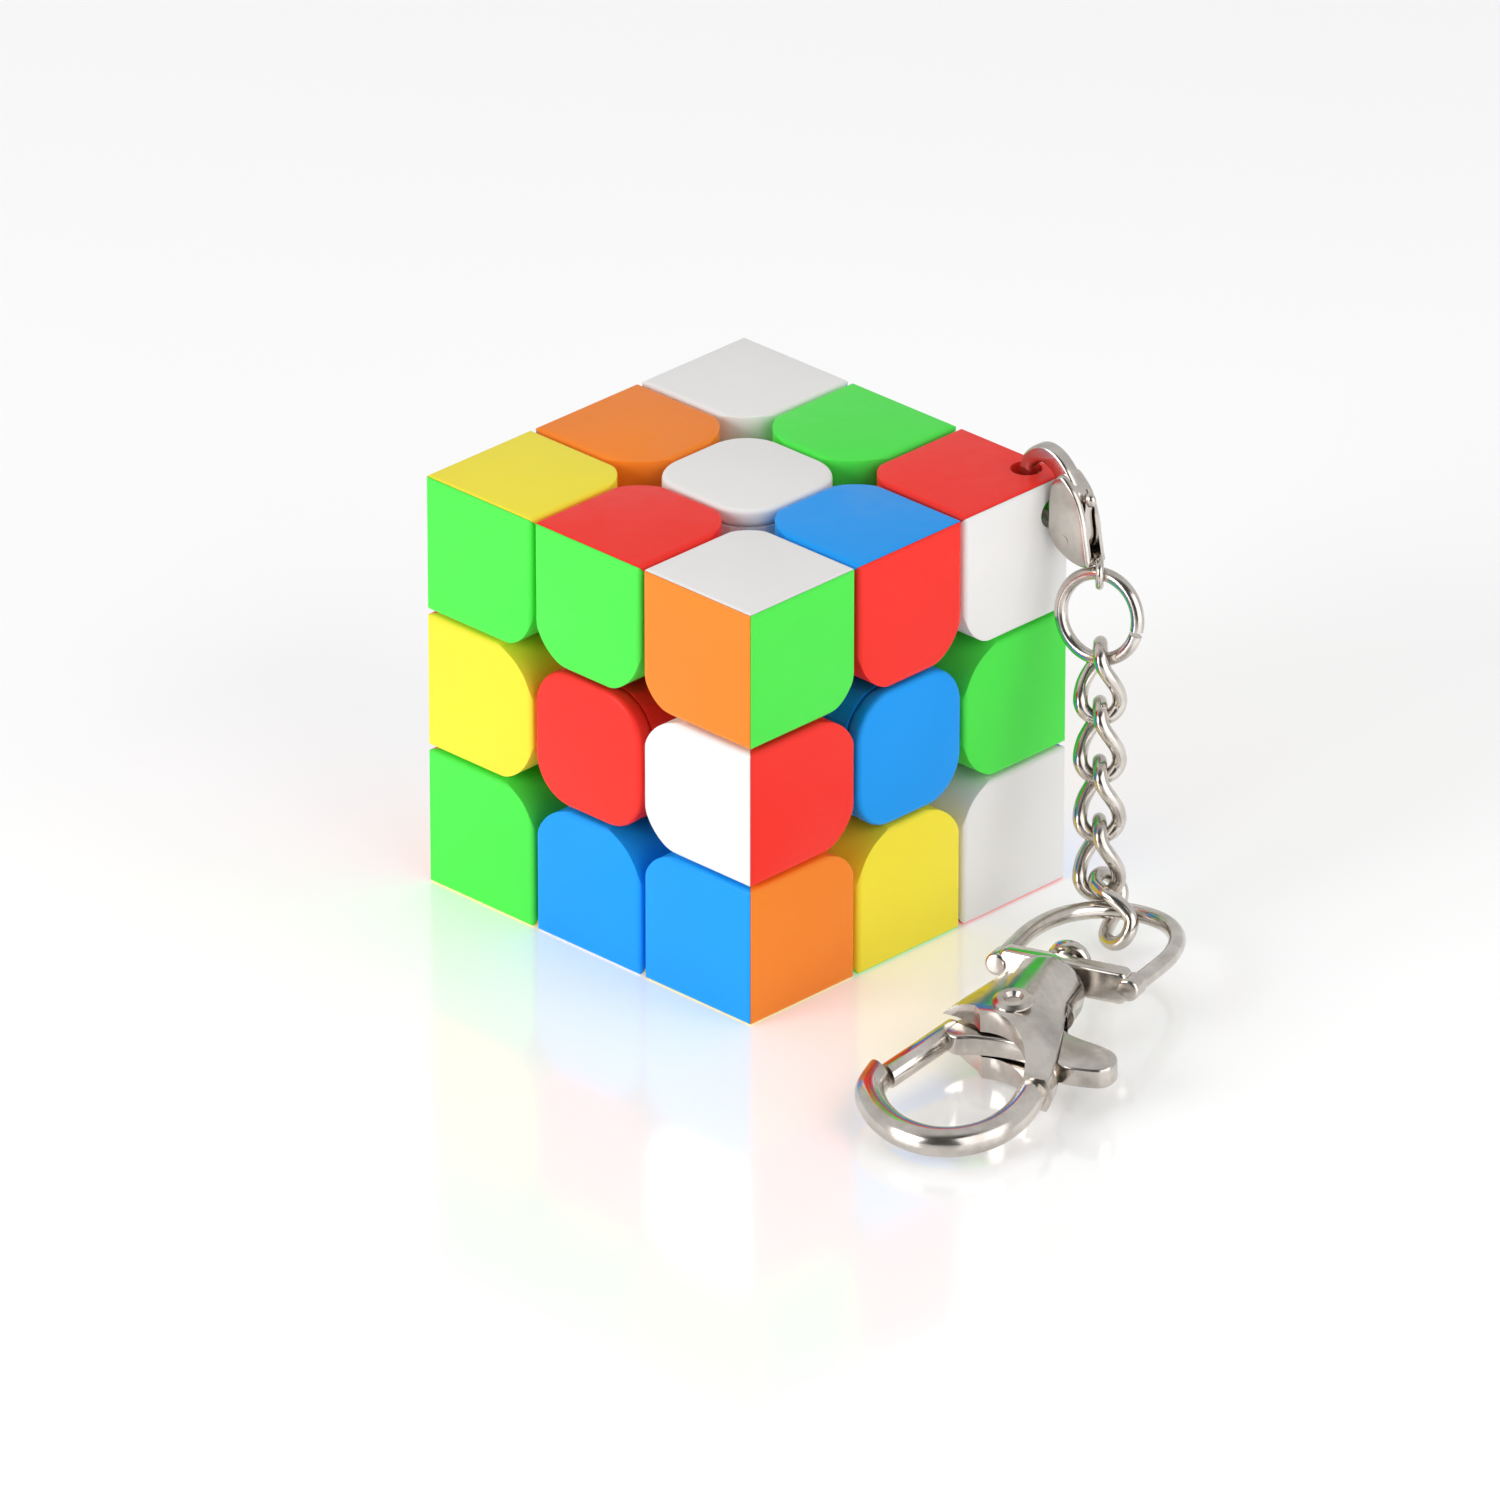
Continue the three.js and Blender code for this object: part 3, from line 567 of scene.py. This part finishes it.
def lathe(profile, sides=56):
    """Profile of (radius, y), turned about the y axis."""
    bm = bmesh.new()
    rings = []
    for r, h in profile:
        if r < 1e-6:
            rings.append([bm.verts.new((0, h, 0))])
            continue
        turns = [2 * math.pi * k / sides for k in range(sides)]
        rings.append([bm.verts.new((r * math.cos(a), h, r * math.sin(a))) for a in turns])
    for a, b in zip(rings, rings[1:]):
        for k in range(sides):
            j = (k + 1) % sides
            quad = [a[k % len(a)], a[j % len(a)], b[j % len(b)], b[k % len(b)]]
            quad = list(dict.fromkeys(quad))
            bm.faces.new(quad)
    return mesh_of(bm)


def smooth_profile(points, per=5):
    return [(max(p.x, 0), p.y) for p in catmull([(r, h, 0) for r, h in points], per)]


WIDE_SIDE = [(6.6, -11.5), (6.3, -9.4), (5.5, -6), (4.4, -2), (3.2, 1.8)]
wide = lathe([(0, -11.5)] + smooth_profile(WIDE_SIDE) + [(0, 1.9)])
wide.transform(Matrix.Translation((-0.7, 0, 0)) @ Matrix.Diagonal((1, 1, 0.58, 1)))
side_line = [(3, 2.9), (-6.5, 3.1), (-9, 2.3), (-12, 1.25)]
side_pts = [(3, -2.9)] + side_line + [(-12, -1.25), (-9, -2.3), (-6.5, -3.1)]
side_prism = prism(side_pts, -12, 12, "yzx")
collar = lathe([(0, -6), (3, -5.9), (3, 1.9), (2.85, 2.5), (2.5, 2.8), (1.1, 2.8), (1.1, 6),
                (1.6, 6), (1.75, 6.2), (1.75, 6.6), (1.5, 7), (1.0, 7.2), (0, 7.2)])
opening = prism([(-1.1 + 4.9 * math.cos(2 * math.pi * i / 56), -13.2 + 6.7 * math.sin(2 * math.pi * i / 56))
                 for i in range(56)], -6, 6)
BOW = [(3.2, -6), (4.1, -9.5), (4.4, -12.3), (4.3, -15.1), (3.4, -17.6), (1.7, -19.3), (-0.3, -20),
       (-2.4, -19.8), (-4.3, -18.9), (-6.1, -17.3), (-7.4, -15.1), (-7.6, -11.8)]
bow = sweep([Vector((p.x, p.y, 0)) for p in catmull([(a, b, 0) for a, b in BOW], 9)], 1.17, 24, closed=False)
gate_gap = prism([(-10, -12.6), (-8.3, -12.5), (-5.6, -14.2), (-2, -13), (-1.5, -7), (-2.6, -5.9),
                  (-4.4, -5.3), (-10, -4.9)], -6, 6)
lever_cut = prism([(-9, -9), (-0.5, -9), (1, -9.8), (12, -9.8), (12, -0.9), (2.8, -0.9), (2.8, 2.1),
                   (0.9, 2.1), (0.9, -1.6), (-2, -2.2), (-9, -3.4)], -1.15, 1.15)
hook = cut(wide, "INTERSECT", side_prism)
hook = cut(hook, "UNION", collar)
hook = cut(hook, "DIFFERENCE", opening)
hook = cut(hook, "UNION", bow)
hook = cut(hook, "DIFFERENCE", gate_gap, lever_cut)
piece("hook_body_cast", bevelled(hook, 0.16, 3, 40), HOOK, NICKEL, "nickel",
      "snap_hook", "hook_body", angle=38)

rivet_profile = [(0, -3.2), (0.55, -3.2), (0.8, -3.34), (1.25, -3.34), (1.58, -3.2), (1.6, -3.1),
                 (0.75, -3.05), (0.75, 3.05), (1.6, 3.05), (1.58, 3.2), (1.25, 3.46), (0.8, 3.46),
                 (0.55, 3.15), (0, 3.15)]
rivet = lathe(rivet_profile, 40)
rivet.transform(Matrix.Translation((0, -4.5, 0)) @ Matrix.Rotation(math.pi / 2, 4, "X"))
piece("hook_rivet_head", rivet, HOOK, NICKEL, "nickel", "snap_hook", "hook_rivet")

tip = prism([(-10, -12.3), (-8.2, -12.2), (-5.5, -13.9), (-3, -13.9), (-1, -5), (-7, -5)], -3, 3)
gate_arm = cut(rod((-4.5, -5.4, 0), (-7.4, -14.6, 0), 0.98), "INTERSECT", tip)
PLATE = [
    (-4.7, -6.9), (-4.4, -5.2), (-2.6, -3.7), (-0.6, -2.8), (2.4, -2.9), (4.6, -4.2), (7.4, -4.85),
    (8.7, -5.5), (9.2, -6.6), (8.85, -7.75), (7.7, -8.3), (5, -8.4), (2.6, -7.1),
    (0.4, -6.7), (-2.2, -7), (-3.6, -7.5)]
plate_pts = [(p.x, p.y) for p in catmull([(a, b, 0) for a, b in PLATE], 6, closed=True)]
gate_plate = bevelled(prism(plate_pts, -0.9, 0.9), 0.28, 4, 50)
piece("hook_gate_cast", merged(bevelled(gate_arm, 0.12, 2, 40), gate_plate), HOOK, NICKEL, "nickel",
      "hook_gate", "hook_gate")

# the swivel ring hangs from the hook's post
W, WIRE = 5.65, 0.69
droop = Matrix.Rotation(math.radians(-11.94), 4, "X")
DRING = HOOK @ Matrix.Translation((0.4, 4.55, 0)) @ droop
d_pts = [(W - 0.2, 0.5), (W, 3.5), (W, 7.5), (W - 0.9, 11), (W - 2.9, 13.4), (0, 14.2), (-W + 2.9, 13.4),
         (-W + 0.9, 11), (-W, 7.5), (-W, 3.5), (-W + 0.2, 0.5)]
d_line = [Vector((p.x, p.y, 0)) for p in catmull([(a, b, 0) for a, b in d_pts], 9)]
d_wire = sweep(d_line, WIRE, 20, closed=False)
bar = bevelled(prism(arc_rect(-W + 0.4, W - 0.4, -1.35, 1.35, [0.6] * 4), -0.8, 0.8, "xzy"), 0.35, 4, 50)
post = rod((-0.4, -6, 0), (-0.4, 6, 0), 1.35, 40)
bar = cut(bar, "DIFFERENCE", post)
ends = []
for s in (1, -1):
    ends.append(bevelled(rod((s * (W - 0.25), -0.9, 0), (s * (W - 0.25), 1.1, 0), 0.93), 0.3, 4, 50))
piece("swivel_ring_cast", merged(d_wire, bar, *ends), DRING, NICKEL, "nickel", "swivel_ring", "swivel_ring",
      angle=50)

# ---------------------------------------------------------------- carried-over CAD nodes
for n, o in frame["nodes"].items():
    if o.hide_render:
        continue
    if n.startswith("centre_base_"):
        mat = PLASTIC[SIDES[n.split("_")[2]][1]]
    elif n.startswith("centre_screw"):
        mat = SCREW
    elif "spring" in n:
        mat = SPRING
    elif n == "core_spider":
        mat = CORE
    else:
        mat = NICKEL
    o.data.materials.clear()
    o.data.materials.append(mat)

# ---------------------------------------------------------------- floor, light, camera
floor_mat, nt, b = new_material("floor_gloss")
fn = noise(nt, 3, 2)
fr = ramp(nt, fn.outputs["Fac"], [(0.3, (0.95, 0.95, 0.955)), (0.7, (0.97, 0.97, 0.97))])
nt.links.new(fr.outputs["Color"], b.inputs["Base Color"])
b.inputs["Roughness"].default_value = 0.13
b.inputs["IOR"].default_value = 2.2
b.inputs["Emission Color"].default_value = (1, 1, 1, 1)
b.inputs["Emission Strength"].default_value = 0.2
bm = bmesh.new()
bmesh.ops.create_grid(bm, x_segments=8, y_segments=8, size=3)
floor = link_object("floor", mesh_of(bm), floor_mat)

world = bpy.data.worlds.new("studio")
bpy.context.scene.world = world
world.use_nodes = True
bg = world.node_tree.nodes["Background"]
# white all round, with a dark room behind the camera for the metal to mirror
wt = world.node_tree
direction = wt.nodes.new("ShaderNodeTexCoord")
facing = wt.nodes.new("ShaderNodeVectorMath")
facing.operation = "DOT_PRODUCT"
facing.inputs[1].default_value = (0.66, -0.62, 0.42)
wt.links.new(direction.outputs["Generated"], facing.inputs[0])
room = ramp(wt, facing.outputs["Value"], [(0.5, (1.0,)), (0.78, (0.10,))])
wt.links.new(room.outputs["Color"], bg.inputs["Color"])
bg.inputs["Strength"].default_value = 0.72
bpy.context.scene.view_settings.view_transform = "Standard"


def area(name, place, target, size, power):
    light = bpy.data.lights.new(name, "AREA")
    light.shape = "RECTANGLE"
    light.size, light.size_y = size
    light.energy = power
    o = bpy.data.objects.new(name, light)
    bpy.context.scene.collection.objects.link(o)
    o.location = place
    o.rotation_euler = (Vector(target) - Vector(place)).to_track_quat("-Z", "Y").to_euler()


area("key", (-0.12, -0.50, 0.19), (0, 0, 0.02), (0.34, 0.30), 1.6)
area("right", (0.50, -0.02, 0.22), (0.02, 0, 0.02), (0.60, 0.50), 1.7)

azimuth, elevation = math.radians(44.416), math.radians(26.666)
DISTANCE, FOCAL_PIXELS, IMAGE_PIXELS, SENSOR_MM = 1.31667, 17071.5, 1500, 36
right = Vector((math.cos(azimuth), math.sin(azimuth), 0))
back = Vector((math.sin(azimuth) * math.cos(elevation), -math.cos(azimuth) * math.cos(elevation),
               math.sin(elevation)))
up = back.cross(right)
cam_data = bpy.data.cameras.new("camera")
cam_data.sensor_width = SENSOR_MM
cam_data.lens = SENSOR_MM * FOCAL_PIXELS / IMAGE_PIXELS
cam_data.clip_start, cam_data.clip_end = 0.05, 20
cam = bpy.data.objects.new("camera", cam_data)
bpy.context.scene.collection.objects.link(cam)
aim = (Vector((0, 0, HALF)) + right * 0.221 - up * 5.591) * MM
cam.location = aim + back * DISTANCE
cam.rotation_euler = (-back).to_track_quat("-Z", "Y").to_euler()
bpy.context.scene.camera = cam
